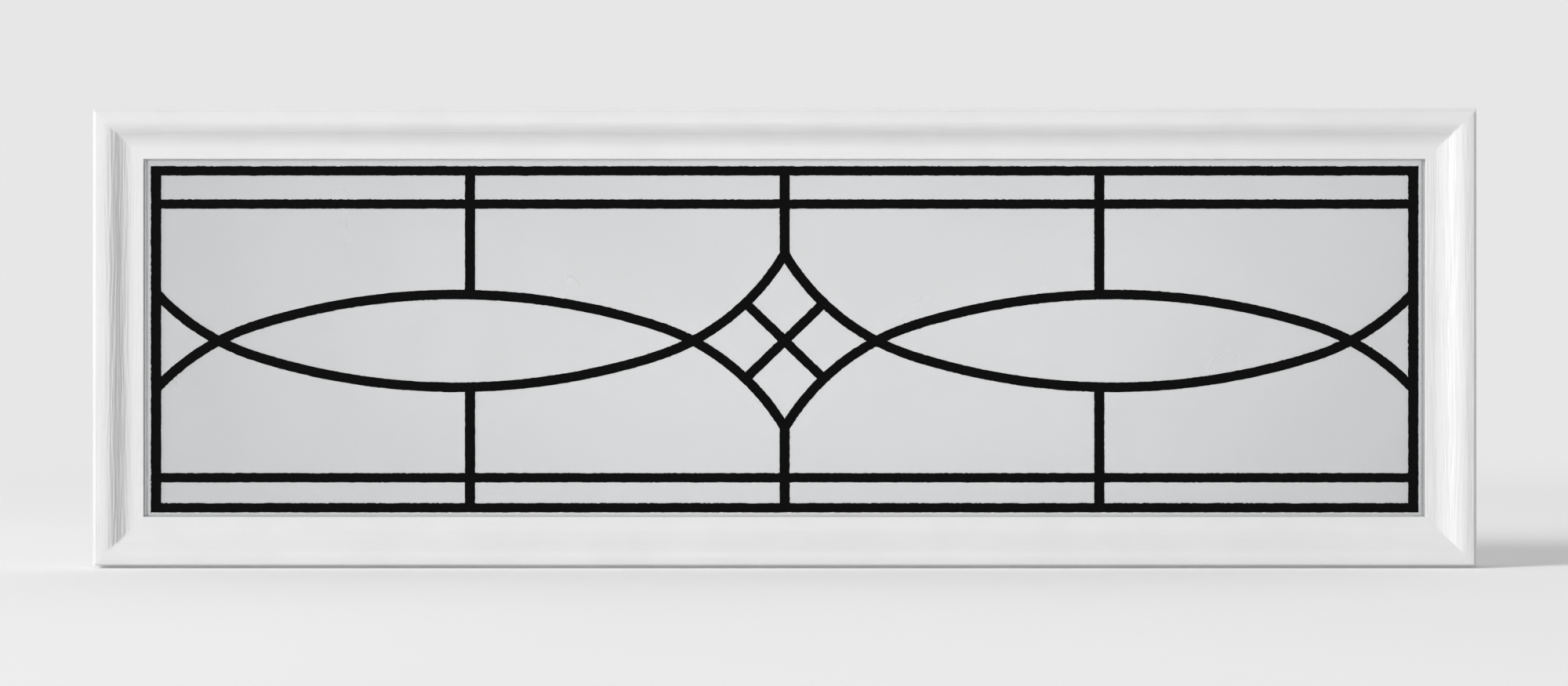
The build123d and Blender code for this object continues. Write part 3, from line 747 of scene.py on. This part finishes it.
dress(["setting_block_left", "setting_block_right"],
      compound("hard_black_rubber", "#1a1a1b", "#262627", rough=0.7, grain_mm=0.8, depth_mm=0.04))
dress(["glazing_tape"], cut_foam("pale_glazing_foam", "#d8d8d6", "#a9a9a7"))
dress(["skin_seal"], cut_foam("dark_seal_foam", "#5a5a5c", "#2a2a2b"))


# Floor, light and camera, in metres

PALE = "#e7e7e7"
FLOOR_Z = cad_box[0][2]


def seen_straight(tree):
    """1 for a ray that sees a surface for the camera: straight, in a reflection or through glass."""
    path = put(tree, "ShaderNodeLightPath").outputs
    either = put(tree, "ShaderNodeMath", {"operation": "MAXIMUM"},
                 in0=path["Is Camera Ray"], in1=path["Is Glossy Ray"])
    one_of_three = put(tree, "ShaderNodeMath", {"operation": "MAXIMUM"},
                       in0=either.outputs[0], in1=path["Is Transmission Ray"])
    return one_of_three.outputs[0]


def pale_floor():
    """Flat sheet under the object that meets the background's colour with distance, so no horizon shows."""
    reach, fade_from, fade_to, lift_strength = 30.0, 0.8, 3.0, 0.2
    corners = [(x * reach, y * reach, FLOOR_Z) for x, y in ((-1, -1), (1, -1), (1, 1), (-1, 1))]
    mesh = bpy.data.meshes.new("floor")
    mesh.from_pydata(corners, [], [(0, 1, 2, 3)])
    floor = bpy.data.objects.new("floor", mesh)
    bpy.context.scene.collection.objects.link(floor)
    material = bpy.data.materials.new("matt_pale_floor")
    material.use_nodes = True
    tree = material.node_tree
    tree.nodes.clear()
    place = put(tree, "ShaderNodeTexCoord").outputs["Object"]
    away = put(tree, "ShaderNodeVectorMath", {"operation": "LENGTH"}, in0=place)
    far = put(tree, "ShaderNodeMapRange", {"interpolation_type": "SMOOTHSTEP"}, Value=away.outputs["Value"],
              From_Min=fade_from, From_Max=fade_to)
    speck = mottle(tree, place, 900.0, "#efefef", "#f2f2f2")
    near = put(tree, "ShaderNodeBsdfDiffuse", Color=speck)
    lift = put(tree, "ShaderNodeEmission", Color=linear(PALE), Strength=lift_strength)
    both = put(tree, "ShaderNodeAddShader", in0=near.outputs[0], in1=lift.outputs[0])
    sky = put(tree, "ShaderNodeEmission", Color=linear(PALE), Strength=1.0)
    pale = put(tree, "ShaderNodeMixShader",
               Fac=far.outputs["Result"], in1=both.outputs[0], in2=sky.outputs[0])
    seen = put(tree, "ShaderNodeMixShader",
               Fac=seen_straight(tree), in1=near.outputs[0], in2=pale.outputs[0])
    put(tree, "ShaderNodeOutputMaterial", Surface=seen.outputs[0])
    mesh.materials.append(material)


def pale_world(outside, inside):
    """Even light on the object, weaker from the outside than the inside, and the background that rays see."""
    world = bpy.data.worlds.new("studio")
    bpy.context.scene.world = world
    world.use_nodes = True
    tree = world.node_tree
    tree.nodes.clear()
    toward = put(tree, "ShaderNodeSeparateXYZ", Vector=put(tree, "ShaderNodeTexCoord").outputs["Generated"])
    level = put(tree, "ShaderNodeMapRange", {"interpolation_type": "SMOOTHSTEP"}, Value=toward.outputs["Y"],
                From_Min=0.0, From_Max=0.35, To_Min=outside, To_Max=inside)
    fill = put(tree, "ShaderNodeBackground", Color=(1, 1, 1, 1), Strength=level.outputs["Result"])
    back = put(tree, "ShaderNodeBackground", Color=linear(PALE), Strength=1.0)
    mix = put(tree, "ShaderNodeMixShader",
              Fac=seen_straight(tree), in1=fill.outputs[0], in2=back.outputs[0])
    put(tree, "ShaderNodeOutputWorld", Surface=mix.outputs[0])


def soft_lamp(name, toward, distance, width, height, power):
    """Flat lamp in a direction from the object, facing its middle. Gives its object back."""
    lamp = bpy.data.lights.new(name, "AREA")
    lamp.shape, lamp.size, lamp.size_y, lamp.energy = "RECTANGLE", width, height, power
    holder = bpy.data.objects.new(name, lamp)
    away = Vector(toward).normalized()
    holder.location = away * distance
    holder.rotation_euler = away.to_track_quat("Z", "Y").to_euler()
    bpy.context.scene.collection.objects.link(holder)
    return holder


def photo_camera():
    """Camera square to the window and 2.8 m off its origin.

    Its focal length is sensor width times distance over width in view, at the plane of the frame's face."""
    sensor, distance, in_view = 36.0, 2.795, 1.181
    camera = bpy.data.cameras.new("camera")
    camera.sensor_fit, camera.sensor_width, camera.lens = "HORIZONTAL", sensor, sensor * distance / in_view
    camera.clip_end = 100.0
    holder = bpy.data.objects.new("camera", camera)
    holder.location = (-0.0005, -2.8, -0.0038)
    holder.rotation_euler = (math.pi / 2, 0, 0)
    bpy.context.scene.collection.objects.link(holder)
    bpy.context.scene.camera = holder


pale_floor()
pale_world(outside=0.23, inside=0.6)
soft_lamp("key", (-0.772, -0.442, 0.42), distance=16.0, width=5.4, height=5.4, power=2210.0)
# Through the satin pane the front lamp would only show as bright specks, so rays through glass don't meet it.
front = soft_lamp("front", (0.003, -1.0, 0.002), distance=6.0, width=2.5, height=0.3, power=54.0)
front.visible_transmission = False
photo_camera()
bpy.context.scene.view_settings.view_transform = "Standard"
